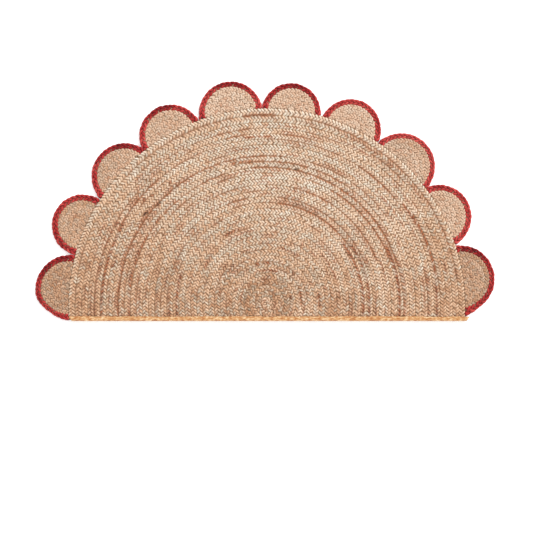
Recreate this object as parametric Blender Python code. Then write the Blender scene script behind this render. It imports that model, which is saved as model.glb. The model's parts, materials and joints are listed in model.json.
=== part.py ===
"""Half moon doormat of coiled jute braid, with ten scallops edged in red braid.

The origin is the start of the panel's coil, on the floor. +X runs along the straight edge, +Y points
from that edge towards the scallops and +Z is up. Lengths are in metres. Bearings are in degrees
round the centre of the panel's outline, from +X towards +Y.
"""

import math
from typing import NamedTuple

import bmesh
import bpy

MM = 0.001
GAP = 0.3 * MM
WELD = 0.01 * MM
SMOOTH_UNDER = math.radians(50)

# The half-round panel, one braid coiled from its middle
PANEL_RADIUS = 388.4 * MM
PANEL_ROWS = 33
PANEL_STEPS = 72
PANEL_CREST = 8.0 * MM
PANEL_GROOVE = 6.0 * MM
COIL_RISE = 8.4 * MM
STRAIGHT_EDGE = -36.2 * MM

# The tape folded over the straight cut
TAPE_CLOTH = 1.2 * MM
TAPE_DEPTH = 9.2 * MM
TAPE_HEIGHT = 7.3 * MM
TAPE_BEND = 1.6 * MM
TAPE_BEND_STEPS = 3
TAPE_LEFT = -387.2 * MM
TAPE_RIGHT = 397.6 * MM

# The scallops, each a small coil with one row of red braid round it
SCALLOP_ROWS = 5
SCALLOP_STEPS = 14
SCALLOP_CREST = 7.2 * MM
SCALLOP_GROOVE = 5.6 * MM
RED_SHOULDER = 4.6 * MM
RED_CREST = 7.4 * MM
RED_CREST_INSET = 2.6 * MM
FLARE_SPAN_DEGREES = 50

JUTE = (0.58, 0.38, 0.25)
PALE_JUTE = (0.62, 0.41, 0.28)
RED = (0.36, 0.04, 0.037)
GOLDEN_TAPE = (0.75, 0.41, 0.19)


class Scallop(NamedTuple):
    """One scallop's measures, in millimetres and degrees. Flare is a share of the radius."""

    bearing: float  # of its outline's centre
    centre_out: float  # from the panel's edge out to the outline's centre
    radius: float  # to the outside of the red braid
    coil_out: float  # from the outline's centre out to the start of the coil
    red_width: float  # across the red braid
    flare: float = 0.0  # how much wider the outline grows beside the straight edge
    flare_from: float = 0.0  # angle past the outward direction at which that starts


SCALLOPS = (
    Scallop(175.0, centre_out=-1.2, radius=67.4, coil_out=9.0, red_width=12.2, flare=-0.13, flare_from=10),
    Scallop(156.1, centre_out=6.1, radius=59.9, coil_out=1.8, red_width=11.8),
    Scallop(137.4, centre_out=-11.0, radius=64.8, coil_out=9.0, red_width=11.3),
    Scallop(119.3, centre_out=-4.9, radius=61.5, coil_out=5.1, red_width=11.5),
    Scallop(100.5, centre_out=-2.9, radius=61.9, coil_out=4.9, red_width=10.6),
    Scallop(82.8, centre_out=-5.1, radius=57.5, coil_out=3.1, red_width=10.3),
    Scallop(64.7, centre_out=-4.3, radius=59.2, coil_out=2.3, red_width=10.4),
    Scallop(46.1, centre_out=-7.2, radius=64.9, coil_out=7.2, red_width=9.9),
    Scallop(27.5, centre_out=-6.7, radius=62.3, coil_out=4.7, red_width=11.4),
    Scallop(8.1, centre_out=-3.5, radius=65.4, coil_out=9.3, red_width=11.8, flare=0.14, flare_from=60),
)


def clear_scene():
    """Removes every object of the scene."""
    for obj in list(bpy.data.objects):
        bpy.data.objects.remove(obj)


def make_material(name, colour, roughness):
    """A plain material: colour is linear RGB."""
    material = bpy.data.materials.new(name)
    material.use_nodes = True
    shader = material.node_tree.nodes["Principled BSDF"]
    shader.inputs["Base Color"].default_value = (*colour, 1.0)
    shader.inputs["Roughness"].default_value = roughness
    shader.inputs["Metallic"].default_value = 0.0
    return material


def make_object(name, bm, colour, roughness=0.9):
    """Turns a bmesh into an object with a material of its own."""
    mesh = bpy.data.meshes.new(name)
    bm.to_mesh(mesh)
    bm.free()
    mesh.shade_smooth()
    mesh.set_sharp_from_angle(angle=SMOOTH_UNDER)
    mesh.materials.append(make_material(name, colour, roughness))
    obj = bpy.data.objects.new(name, mesh)
    bpy.context.scene.collection.objects.link(obj)
    return obj


def make_cutter(name, bm):
    """Turns a bmesh into a helper that only cuts."""
    mesh = bpy.data.meshes.new(name)
    bm.to_mesh(mesh)
    bm.free()
    cutter = bpy.data.objects.new(name, mesh)
    bpy.context.scene.collection.objects.link(cutter)
    cutter.hide_render = True
    cutter.display_type = "WIRE"
    return cutter


def cut(obj, cutter):
    """Takes the cutter's shape out of the object."""
    modifier = obj.modifiers.new("cut", "BOOLEAN")
    modifier.operation = "DIFFERENCE"
    modifier.solver = "EXACT"
    modifier.object = cutter


def rib_height(rows_out, groove, crest):
    """Height of the ribbed top, a number of rows out from the coil's start: low between rows."""
    across = rows_out % 1.0
    return groove + (crest - groove) * (1.0 - abs(2.0 * across - 1.0))


def bridge(bm, near, far):
    """Joins two rings of points, point by point."""
    for step in range(len(near) - 1):
        bm.faces.new((near[step], far[step], far[step + 1], near[step + 1]))


def close_below(bm):
    """Drops the open rim to the floor and fills the flat underside."""
    bmesh.ops.remove_doubles(bm, verts=bm.verts, dist=WELD)
    rim = [edge for edge in bm.edges if edge.is_boundary]
    wall = bmesh.ops.extrude_edge_only(bm, edges=rim)["geom"]
    for vert in (item for item in wall if isinstance(item, bmesh.types.BMVert)):
        vert.co.z = 0.0
    edges = [item for item in wall if isinstance(item, bmesh.types.BMEdge)]
    bmesh.ops.edgeloop_fill(bm, edges=[edge for edge in edges if edge.is_boundary])
    bmesh.ops.recalc_face_normals(bm, faces=bm.faces)


def extrude_profile(profile, left, right):
    """A prism along X from a closed profile of (y, z) points."""
    bm = bmesh.new()
    ends = [[bm.verts.new((x, y, z)) for y, z in profile] for x in (left, right)]
    bridge(bm, [*ends[0], ends[0][0]], [*ends[1], ends[1][0]])
    bm.faces.new(ends[0])
    bm.faces.new(ends[1])
    bmesh.ops.recalc_face_normals(bm, faces=bm.faces)
    return bm


def panel_blank():
    """The whole round of braid. Its rows drift down from the coil's start to the outline's centre."""
    bm = bmesh.new()
    rings = []
    for half_row in range(2 * PANEL_ROWS + 1):
        share = half_row / (2 * PANEL_ROWS)
        height = rib_height(half_row / 2, PANEL_GROOVE, PANEL_CREST)
        ring = []
        for step in range(PANEL_STEPS):
            angle = math.tau * step / PANEL_STEPS
            x = share * PANEL_RADIUS * math.cos(angle)
            y = share * (PANEL_RADIUS * math.sin(angle) - COIL_RISE)
            ring.append(bm.verts.new((x, y, height)))
        rings.append([*ring, ring[0]])
    for near, far in zip(rings, rings[1:]):
        bridge(bm, near, far)
    close_below(bm)
    return bm


def straight_cut():
    """What lies past the straight cut, with a rebate above and below for the tape."""
    cut_y = STRAIGHT_EDGE + TAPE_CLOTH + GAP
    rebate_y = STRAIGHT_EDGE + TAPE_DEPTH + GAP
    under_z = TAPE_CLOTH + GAP
    over_z = TAPE_HEIGHT - TAPE_CLOTH - GAP
    far = 1.5 * PANEL_RADIUS
    above = 2 * PANEL_CREST
    profile = (
        (-far, -above),
        (rebate_y, -above),
        (rebate_y, under_z),
        (cut_y, under_z),
        (cut_y, over_z),
        (rebate_y, over_z),
        (rebate_y, above),
        (-far, above),
    )
    return extrude_profile(profile, -far, far)


def make_panel():
    """The coiled panel, cut straight below the coil's start."""
    panel = make_object("centre_panel", panel_blank(), JUTE)
    cut(panel, make_cutter("straight_cut", straight_cut()))


def bend(radius, turn_from):
    """A quarter bend of the tape about (0, 0), as (y, z) points, clockwise from an angle."""
    points = []
    for step in range(TAPE_BEND_STEPS + 1):
        angle = turn_from - math.pi / 2 * step / TAPE_BEND_STEPS
        points.append((radius * math.cos(angle), radius * math.sin(angle)))
    return points


def tape_profile():
    """The tape's section: a flat U that opens towards the panel."""
    inner = TAPE_BEND - TAPE_CLOTH
    fold_y = STRAIGHT_EDGE + TAPE_BEND
    upper_z = TAPE_HEIGHT - TAPE_BEND
    reach_y = STRAIGHT_EDGE + TAPE_DEPTH
    outside = [(fold_y + y, TAPE_BEND + z) for y, z in bend(TAPE_BEND, 1.5 * math.pi)]
    outside += [(fold_y + y, upper_z + z) for y, z in bend(TAPE_BEND, math.pi)]
    inside = [(fold_y + y, TAPE_BEND + z) for y, z in bend(inner, 1.5 * math.pi)]
    inside += [(fold_y + y, upper_z + z) for y, z in bend(inner, math.pi)]
    return [
        (reach_y, 0.0),
        *outside,
        (reach_y, TAPE_HEIGHT),
        (reach_y, TAPE_HEIGHT - TAPE_CLOTH),
        *reversed(inside),
        (reach_y, TAPE_CLOTH),
    ]


def make_tape():
    """The tape over the straight cut, left a little long at its right end."""
    make_object("edge_tape", extrude_profile(tape_profile(), TAPE_LEFT, TAPE_RIGHT), GOLDEN_TAPE)


def smooth_step(value):
    """Rises smoothly from 0 to 1 as the value does."""
    value = min(max(value, 0.0), 1.0)
    return value * value * (3.0 - 2.0 * value)


def edge_crossing(scallop):
    """Angle, seen from the panel's centre, between a scallop's bearing and its outline's end."""
    out = PANEL_RADIUS + scallop.centre_out * MM
    radius = scallop.radius * MM
    return math.acos((PANEL_RADIUS**2 + out**2 - radius**2) / (2 * PANEL_RADIUS * out))


def valley(left, right):
    """Bearing, in radians, at which two neighbouring scallops meet."""
    left_end = math.radians(left.bearing) - edge_crossing(left)
    right_end = math.radians(right.bearing) + edge_crossing(right)
    return (left_end + right_end) / 2


class ScallopForm:
    """The plan of one scallop, pointing along +X from the centre of the panel's outline."""

    def __init__(self, index):
        self.measures = SCALLOPS[index]
        self.radius = self.measures.radius * MM
        self.red_share = self.measures.red_width / self.measures.radius
        self.bearing = math.radians(self.measures.bearing)
        self.flare_side = math.copysign(1.0, self.measures.bearing - 90)
        self.low = -math.pi / 2
        self.high = math.pi / 2
        if index > 0:
            self.high = valley(SCALLOPS[index - 1], SCALLOPS[index]) - self.bearing
        if index < len(SCALLOPS) - 1:
            self.low = valley(SCALLOPS[index], SCALLOPS[index + 1]) - self.bearing

    def centre(self, share):
        """Distance of a ring's centre from the panel's. A ring is named by its share of the radius."""
        drift = self.measures.coil_out * MM * (1 - share)
        return PANEL_RADIUS + self.measures.centre_out * MM + drift

    def half_angle(self, share):
        """Angle from the outward direction at which a ring ends on the panel's edge."""
        ring = share * self.radius
        centre = self.centre(share)
        inner = PANEL_RADIUS + GAP
        if ring < WELD:
            return math.pi
        cosine = (inner**2 - centre**2 - ring**2) / (2 * centre * ring)
        return math.acos(min(max(cosine, -1.0), 1.0))

    def first_rings(self):
        """Shares at which the rings start and, where the coil starts clear of the edge, reach it."""
        past_edge = self.centre(0.0) - PANEL_RADIUS - GAP
        drift = self.measures.coil_out * MM
        if past_edge < 0:
            return [-past_edge / (self.radius - drift)]
        return [0.0, past_edge / (self.radius + drift)]

    def flared(self, share, angle):
        """Radius of a ring at an angle, wider towards the end beside the straight edge."""
        opening = (math.degrees(self.flare_side * angle) - self.measures.flare_from) / FLARE_SPAN_DEGREES
        return share * self.radius * (1 + self.measures.flare * share * smooth_step(opening))

    def point(self, share, turn):
        """Plan point of a ring, for a turn of -1 at one end to 1 at the other."""
        half_angle = self.half_angle(share)
        closed = half_angle == math.pi
        angle = turn * half_angle
        ring = share * self.radius if closed else self.flared(share, angle)
        x = self.centre(share) + ring * math.cos(angle)
        y = ring * math.sin(angle)
        edge = PANEL_RADIUS + GAP
        out = max(math.hypot(x, y), edge)
        if abs(turn) == 1.0 and not closed:
            out = edge
        slack = GAP / 2 / out
        around = min(max(math.atan2(y, x), self.low + slack), self.high - slack)
        return out * math.cos(around), out * math.sin(around)

    def place(self, obj):
        """Turns a finished object to the scallop's bearing, round the outline's centre."""
        obj.location = (0.0, -COIL_RISE, 0.0)
        obj.rotation_euler = (0.0, 0.0, self.bearing)


def scallop_turns():
    """The turns at which each ring of a scallop has a point."""
    return [2 * step / SCALLOP_STEPS - 1 for step in range(SCALLOP_STEPS + 1)]


def scallop_shares(form):
    """Shares of the radius at which the coiled part has its rings."""
    outer = 1 - form.red_share - GAP / form.radius
    starts = form.first_rings()
    ribs = [outer * half_row / (2 * SCALLOP_ROWS) for half_row in range(1, 2 * SCALLOP_ROWS + 1)]
    return sorted(starts + [share for share in ribs if share > starts[0] and share not in starts])


def scallop_coil(form):
    """The coiled part of a scallop, ribbed like its rows of braid."""
    bm = bmesh.new()
    shares = scallop_shares(form)
    rings = []
    for share in shares:
        height = rib_height(share / shares[-1] * SCALLOP_ROWS, SCALLOP_GROOVE, SCALLOP_CREST)
        points = [form.point(share, turn) for turn in scallop_turns()]
        rings.append([bm.verts.new((x, y, height)) for x, y in points])
    for near, far in zip(rings, rings[1:]):
        bridge(bm, near, far)
    close_below(bm)
    return bm


def red_section(form):
    """Section of the red braid, as (share of the radius, height) from inside round to outside."""
    inside = 1 - form.red_share
    inset = RED_CREST_INSET / form.radius
    return (
        (inside, 0.0),
        (inside, RED_SHOULDER),
        (inside + inset, RED_CREST),
        (1.0 - inset, RED_CREST),
        (1.0, RED_SHOULDER),
        (1.0, 0.0),
    )


def red_braid(form):
    """One row of red braid, carried round the scallop from end to end."""
    bm = bmesh.new()
    rows = []
    for turn in scallop_turns():
        row = []
        for share, height in red_section(form):
            x, y = form.point(share, turn)
            row.append(bm.verts.new((x, y, height)))
        rows.append([*row, row[0]])
    for near, far in zip(rows, rows[1:]):
        bridge(bm, near, far)
    bm.faces.new(rows[0][:-1])
    bm.faces.new(rows[-1][:-1])
    bmesh.ops.recalc_face_normals(bm, faces=bm.faces)
    return bm


def make_scallops():
    """All scallops, numbered from the left end of the straight edge to the right one."""
    for index in range(len(SCALLOPS)):
        form = ScallopForm(index)
        form.place(make_object(f"scallop_{index + 1:02d}", scallop_coil(form), PALE_JUTE))
        form.place(make_object(f"red_braid_{index + 1:02d}", red_braid(form), RED))


def main():
    """Builds the doormat."""
    clear_scene()
    make_panel()
    make_tape()
    make_scallops()


main()
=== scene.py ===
"""Looks of the half moon doormat: coiled jute braid, red braid edging and a tape over the straight cut.

Lengths are in metres and angles in radians, unless a name says degrees or a table says millimetres.
A place on a coil is given by its ring coordinates: the radius of the ring it lies on and the angle
round it. A plan turns ring coordinates into X and Y. Round and along a coil, angles grow the way a
clock runs backwards.
"""

import json
import logging
import math
from dataclasses import dataclass, field, replace
from enum import Enum
from typing import Protocol

import bpy
import numpy as np
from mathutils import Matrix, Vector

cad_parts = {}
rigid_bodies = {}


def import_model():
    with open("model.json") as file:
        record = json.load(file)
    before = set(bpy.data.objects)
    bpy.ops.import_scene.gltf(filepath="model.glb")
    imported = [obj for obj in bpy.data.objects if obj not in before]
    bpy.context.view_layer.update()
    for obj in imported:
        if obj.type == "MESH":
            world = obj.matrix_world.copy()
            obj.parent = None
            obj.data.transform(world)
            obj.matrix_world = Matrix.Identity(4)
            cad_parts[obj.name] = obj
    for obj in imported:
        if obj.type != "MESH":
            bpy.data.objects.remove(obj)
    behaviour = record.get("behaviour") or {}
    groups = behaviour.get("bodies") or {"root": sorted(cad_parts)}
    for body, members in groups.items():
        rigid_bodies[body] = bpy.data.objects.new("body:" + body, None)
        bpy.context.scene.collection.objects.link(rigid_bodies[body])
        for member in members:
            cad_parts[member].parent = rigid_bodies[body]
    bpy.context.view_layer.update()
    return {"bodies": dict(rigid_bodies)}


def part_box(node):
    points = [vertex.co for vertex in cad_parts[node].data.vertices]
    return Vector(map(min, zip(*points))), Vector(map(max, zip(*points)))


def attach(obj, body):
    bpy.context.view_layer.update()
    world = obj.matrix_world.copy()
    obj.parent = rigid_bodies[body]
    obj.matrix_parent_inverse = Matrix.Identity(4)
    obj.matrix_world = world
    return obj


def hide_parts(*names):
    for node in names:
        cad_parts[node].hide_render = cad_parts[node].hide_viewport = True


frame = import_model()

LOG = logging.getLogger("half_moon_doormat")
BODY = next(iter(frame["bodies"]))
MM = 0.001
WELD = 0.01 * MM
PICK_EDGE = 0.05
Colour = tuple[float, float, float]
Stops = tuple[tuple[float, Colour], ...]


class Slot(Enum):
    """The record's finishes."""

    PANEL = "panel_jute"
    SCALLOP = "scallop_jute"
    RED = "red_braid"
    TAPE = "edge_tape"


def ease(value: np.ndarray) -> np.ndarray:
    """Rises smoothly from 0 to 1 as the value does: 3v squared less 2v cubed, held at both ends."""
    held = np.clip(value, 0.0, 1.0)
    return held * held * (3.0 - 2.0 * held)


def rising(value: np.ndarray, start: float, span: float) -> np.ndarray:
    """Rises smoothly from 0 at the start to 1 a span further on."""
    return ease((value - start) / span)


def between(knots: np.ndarray, low: np.ndarray, share: np.ndarray) -> np.ndarray:
    """Values between each knot numbered low, where the share is 0, and the next, where it is 1."""
    return knots[low] * (1.0 - share) + knots[low + 1] * share


def picked(chance: np.ndarray, share: float | np.ndarray) -> np.ndarray:
    """1 where a draw from 0 to 1 is over 1 less a share, with a short rise up to there, and else 0."""
    return ease((chance + share - 1.0) / PICK_EDGE)


def soft_floor(value: np.ndarray, limit: float, zone: float) -> np.ndarray:
    """Keeps values above a limit without a step.

    Args:
        value: any values.
        limit: the value that the result comes close to and never passes.
        zone: how far above the limit the squeeze starts.

    Returns:
        The value where it is past the zone, and else limit + zone e^((value - limit) / zone - 1).
    """
    squeezed = limit + zone * np.exp(np.minimum((value - limit) / zone - 1.0, 0.0))
    return np.where(value > limit + zone, value, squeezed)


def wander(rng: np.random.Generator, length: np.ndarray, spacing: float, size: float) -> np.ndarray:
    """Smooth random values along a length.

    Args:
        rng: where the draws come from.
        length: the lengths at which values are wanted, rising.
        spacing: the length from one draw to the next.
        size: the spread of the draws.

    Returns:
        The draws, joined from one to the next by the curve of ease().
    """
    place = (length - length[0]) / spacing
    knots = rng.normal(0.0, size, int(place[-1]) + 3)
    low = place.astype(int)
    return between(knots, low, ease(place - low))


def new_object(name: str, data: bpy.types.ID) -> bpy.types.Object:
    """An object in the scene, at the origin."""
    made = bpy.data.objects.new(name, data)
    bpy.context.scene.collection.objects.link(made)
    return made


@dataclass
class Surface:
    """A mesh in the making."""

    points: np.ndarray
    faces: list[np.ndarray]
    masks: dict[str, np.ndarray] = field(default_factory=dict)

    @classmethod
    def joined(cls, parts: list["Surface"]) -> "Surface":
        """One surface that holds several, each with its own points."""
        starts = np.cumsum([0] + [len(part.points) for part in parts])
        faces = [face + start for part, start in zip(parts, starts) for face in part.faces]
        masks = {name: np.concatenate([part.masks[name] for part in parts]) for name in parts[0].masks}
        return cls(np.concatenate([part.points for part in parts]), faces, masks)

    @property
    def triangles(self) -> int:
        """How many triangles its faces make."""
        return sum(len(face) * (face.shape[1] - 2) for face in self.faces)

    def make(self, name: str, material: bpy.types.Material) -> bpy.types.Object:
        """Puts the surface into a smooth mesh object.

        Args:
            name: the piece's name.
            material: its finish.

        Returns:
            The object, at the origin, with a point attribute for each mask.
        """
        mesh = bpy.data.meshes.new(name)
        corners = np.concatenate([face.ravel() for face in self.faces]).astype(np.int32)
        sizes = np.concatenate([np.full(len(face), face.shape[1]) for face in self.faces])
        starts = np.concatenate(([0], np.cumsum(sizes)[:-1])).astype(np.int32)
        mesh.vertices.add(len(self.points))
        mesh.vertices.foreach_set("co", self.points.astype(np.float32).ravel())
        mesh.loops.add(len(corners))
        mesh.loops.foreach_set("vertex_index", corners)
        mesh.polygons.add(len(sizes))
        mesh.polygons.foreach_set("loop_start", starts)
        mesh.update(calc_edges=True)
        mesh.shade_smooth()
        for mask, values in self.masks.items():
            vector = values.ndim == 2
            layer = mesh.attributes.new(mask, "FLOAT_VECTOR" if vector else "FLOAT", "POINT")
            layer.data.foreach_set("vector" if vector else "value", values.astype(np.float32).ravel())
        mesh.materials.append(material)
        return new_object(name, mesh)


def tube(grid: np.ndarray, masks: dict[str, np.ndarray]) -> Surface:
    """Closes a grid of points, sections by sides, into a tube with flat ends.

    Args:
        grid: points as (sections, sides, 3), the sides running from across the tube to above it
            while the sections run backwards round a clock face.
        masks: values for each point of the grid.

    Returns:
        The tube, its faces outwards: four-sided ones between sections and one at each end.
    """
    sections, sides = grid.shape[:2]
    index = np.arange(sections * sides).reshape(sections, sides)
    turned = np.roll(index, -1, axis=1)
    quads = np.stack((index[:-1], index[1:], turned[1:], turned[:-1]), axis=-1).reshape(-1, 4)
    ends = np.stack((index[0], index[-1][::-1]))
    flat = {name: values.reshape(sections * sides, *values.shape[2:]) for name, values in masks.items()}
    return Surface(grid.reshape(-1, 3), [quads, ends], flat)


def slab(upper: np.ndarray, depth: np.ndarray, middle: float) -> Surface:
    """Closes a grid of points into a slab that is the same above and below a level.

    Args:
        upper: plan points as (rings, steps, 2).
        depth: how far above and below the level each point's two sides lie, as (rings, steps).
        middle: the level.

    Returns:
        The slab as triangles, its doubled points joined and its open edges walled.
    """
    rings, steps = depth.shape
    index = np.arange(rings * steps).reshape(rings, steps)
    quads = np.stack((index[:-1, :-1], index[1:, :-1], index[1:, 1:], index[:-1, 1:]), axis=-1).reshape(-1, 4)
    plan = upper.reshape(-1, 2)
    _, first, joined = np.unique(np.round(plan / WELD).astype(int), axis=0, return_index=True, return_inverse=True)
    tris = joined.ravel()[np.concatenate((quads[:, [0, 1, 2]], quads[:, [0, 2, 3]]))]
    whole = (tris[:, 0] != tris[:, 1]) & (tris[:, 1] != tris[:, 2]) & (tris[:, 2] != tris[:, 0])
    tris = tris[whole]
    plan = plan[first]
    depth = depth.ravel()[first]
    count = len(plan)
    edges = np.concatenate((tris[:, [0, 1]], tris[:, [1, 2]], tris[:, [2, 0]]))
    open_edges = edges[~np.isin(edges[:, 0] * count + edges[:, 1], edges[:, 1] * count + edges[:, 0])]
    walls = np.column_stack((open_edges[:, 1], open_edges[:, 0], open_edges + count))
    points = np.concatenate((np.column_stack((plan, middle + depth)), np.column_stack((plan, middle - depth))))
    return Surface(points, [tris, tris[:, ::-1] + count, walls])


class Graph:
    """Places shader nodes in a tree and links them."""

    def __init__(self, tree: bpy.types.NodeTree) -> None:
        """Works on the tree given."""
        self.tree = tree

    def put(self, kind: str, inputs: dict | None = None, **settings: object) -> bpy.types.Node:
        """Adds a node.

        Args:
            kind: the node's type.
            inputs: for each input, by name or number, the value or the socket that feeds it.
            settings: the node's own settings.

        Returns:
            The node.
        """
        node = self.tree.nodes.new(kind)
        for name, value in settings.items():
            setattr(node, name, value)
        self.feed(node, inputs or {})
        return node

    def feed(self, node: bpy.types.Node, inputs: dict) -> None:
        """Gives a node's inputs, by name or number, each its value or the socket that feeds it."""
        for name, value in inputs.items():
            if isinstance(value, bpy.types.NodeSocket):
                self.tree.links.new(value, node.inputs[name])
            else:
                node.inputs[name].default_value = value

    def place(self) -> bpy.types.NodeSocket:
        """Where a point is on its piece."""
        return self.put("ShaderNodeTexCoord").outputs["Object"]

    def noise(self, place: bpy.types.NodeSocket, scale: float, detail: float) -> bpy.types.NodeSocket:
        """Noise over a place."""
        return self.put("ShaderNodeTexNoise", {"Vector": place, "Scale": scale, "Detail": detail}).outputs["Fac"]

    def stretched(self, place: bpy.types.NodeSocket, factors: object) -> bpy.types.NodeSocket:
        """A place with each of its three numbers multiplied."""
        return self.put("ShaderNodeVectorMath", {0: place, 1: factors}, operation="MULTIPLY").outputs[0]

    def bump(self, height: bpy.types.NodeSocket, distance: float, strength: float) -> bpy.types.NodeSocket:
        """The surface's direction once a height has been raised on it."""
        inputs = {"Height": height, "Distance": distance, "Strength": strength}
        return self.put("ShaderNodeBump", inputs).outputs["Normal"]

    def math(self, operation: str, first: object, second: object = 0.0, third: object = 0.0) -> bpy.types.NodeSocket:
        """The result of a sum on up to three values or sockets."""
        return self.put("ShaderNodeMath", {0: first, 1: second, 2: third}, operation=operation).outputs[0]

    def spread(self, value: object, low: float, high: float, to_low: float, to_high: float) -> bpy.types.NodeSocket:
        """A value carried from one range to another and held there."""
        inputs = {"Value": value, "From Min": low, "From Max": high, "To Min": to_low, "To Max": to_high}
        return self.put("ShaderNodeMapRange", inputs, clamp=True).outputs["Result"]

    def mixed(self, factor: object, first: object, second: object, blend: str = "MIX") -> bpy.types.NodeSocket:
        """Two colours mixed."""
        inputs = {0: factor, 6: first, 7: second}
        return self.put("ShaderNodeMix", inputs, data_type="RGBA", blend_type=blend).outputs[2]

    def ramp(self, value: object, stops: Stops) -> bpy.types.NodeSocket:
        """A colour read off a ramp."""
        node = self.put("ShaderNodeValToRGB", {"Fac": value})
        elements = node.color_ramp.elements
        while len(elements) < len(stops):
            elements.new(1.0)
        for element, (place, colour) in zip(elements, stops):
            element.position = place
            element.color = (*colour, 1.0)
        return node.outputs["Color"]

    def attribute(self, name: str, output: str = "Fac") -> bpy.types.NodeSocket:
        """A value that the mesh holds for each point."""
        return self.put("ShaderNodeAttribute", attribute_name=name).outputs[output]


def new_group(name: str, inputs: dict[str, float], outputs: tuple[str, ...]) -> tuple[bpy.types.NodeTree, Graph]:
    """Starts a shader node group with number sockets.

    Args:
        name: the group's name.
        inputs: each input's name and usual value.
        outputs: the names of the outputs.

    Returns:
        The group and a graph on it, with its nodes for both ends named "in" and "out".
    """
    tree = bpy.data.node_groups.new(name, "ShaderNodeTree")
    for socket, value in inputs.items():
        tree.interface.new_socket(socket, in_out="INPUT", socket_type="NodeSocketFloat").default_value = value
    for socket in outputs:
        tree.interface.new_socket(socket, in_out="OUTPUT", socket_type="NodeSocketFloat")
    graph = Graph(tree)
    graph.put("NodeGroupInput", name="in")
    graph.put("NodeGroupOutput", name="out")
    return tree, graph


class YarnGroups:
    """The node groups that the yarn finishes share. Each is built once."""

    def __init__(self) -> None:
        """Builds every group."""
        self.fibres = self.build_fibres()
        self.tone = self.build_tone()
        self.crease = self.build_crease_shade()

    def build_fibres(self) -> bpy.types.NodeTree:
        """Fine fibres along a strand: noise on the strand's own length and section, drawn out lengthwise."""
        tree, graph = new_group("Fibres", {"Along": 90.0, "Across": 900.0}, ("Streak", "Fuzz", "Ply"))
        sockets = tree.nodes["in"].outputs
        lay = graph.attribute("lay", "Vector")
        scale = graph.put("ShaderNodeCombineXYZ", {0: sockets["Along"], 1: sockets["Across"], 2: sockets["Across"]})
        drawn = graph.stretched(lay, scale.outputs[0])
        graph.feed(tree.nodes["out"], {
            "Streak": graph.spread(graph.noise(drawn, 1.0, 1.5), 0.3, 0.7, 0.0, 1.0),
            "Fuzz": graph.spread(graph.noise(drawn, 3.1, 2.0), 0.3, 0.7, 0.0, 1.0),
            "Ply": graph.spread(graph.noise(drawn, 0.36, 0.0), 0.36, 0.64, 0.0, 1.0),
        })
        return tree

    def build_tone(self) -> bpy.types.NodeTree:
        """How pale the yarn is: its own tone, its fibres' streaks and broad patches of the mat, added up."""
        inputs = {"Streak": 0.5, "Streak Weight": 0.2, "Ply": 0.5, "Ply Weight": 0.2, "Patch Weight": 0.1}
        tree, graph = new_group("Yarn Tone", inputs, ("Tone", "Warmth"))
        sockets = tree.nodes["in"].outputs
        streak_part, ply_part, patch_part = (
            graph.math("MULTIPLY", graph.math("SUBTRACT", value, 0.5), sockets[f"{name} Weight"])
            for name, value in (
                ("Streak", sockets["Streak"]),
                ("Ply", sockets["Ply"]),
                ("Patch", graph.noise(graph.place(), 16.0, 2.0)),
            )
        )
        tone = graph.math("ADD", graph.math("ADD", graph.attribute("tone"), streak_part), patch_part)
        tone = graph.math("ADD", tone, ply_part)
        warmth = graph.math("ADD", graph.attribute("warmth"), graph.math("MULTIPLY", patch_part, -1.0))
        graph.feed(tree.nodes["out"], {"Tone": tone, "Warmth": warmth})
        return tree

    def build_crease_shade(self) -> bpy.types.NodeTree:
        """Painted shade in the creases between strands: how much a place is in a crease, from 0 at the crests to 1,
        made uneven by noise.
        """
        tree, graph = new_group("Painted Crease Shade", {"Depth": 1.0}, ("Crease",))
        sockets = tree.nodes["in"].outputs
        uneven = graph.spread(graph.noise(graph.place(), 420.0, 1.0), 0.3, 0.7, 0.7, 1.3)
        crease = graph.math("MULTIPLY", graph.math("MULTIPLY", graph.attribute("crease"), uneven), sockets["Depth"])
        graph.feed(tree.nodes["out"], {"Crease": graph.spread(crease, 0.0, 1.0, 0.0, 1.0)})
        return tree


def new_material(name: str) -> tuple[bpy.types.Material, Graph, bpy.types.Node]:
    """A material with its graph and its main shader node."""
    material = bpy.data.materials.new(name)
    material.use_nodes = True
    return material, Graph(material.node_tree), material.node_tree.nodes["Principled BSDF"]


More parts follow.
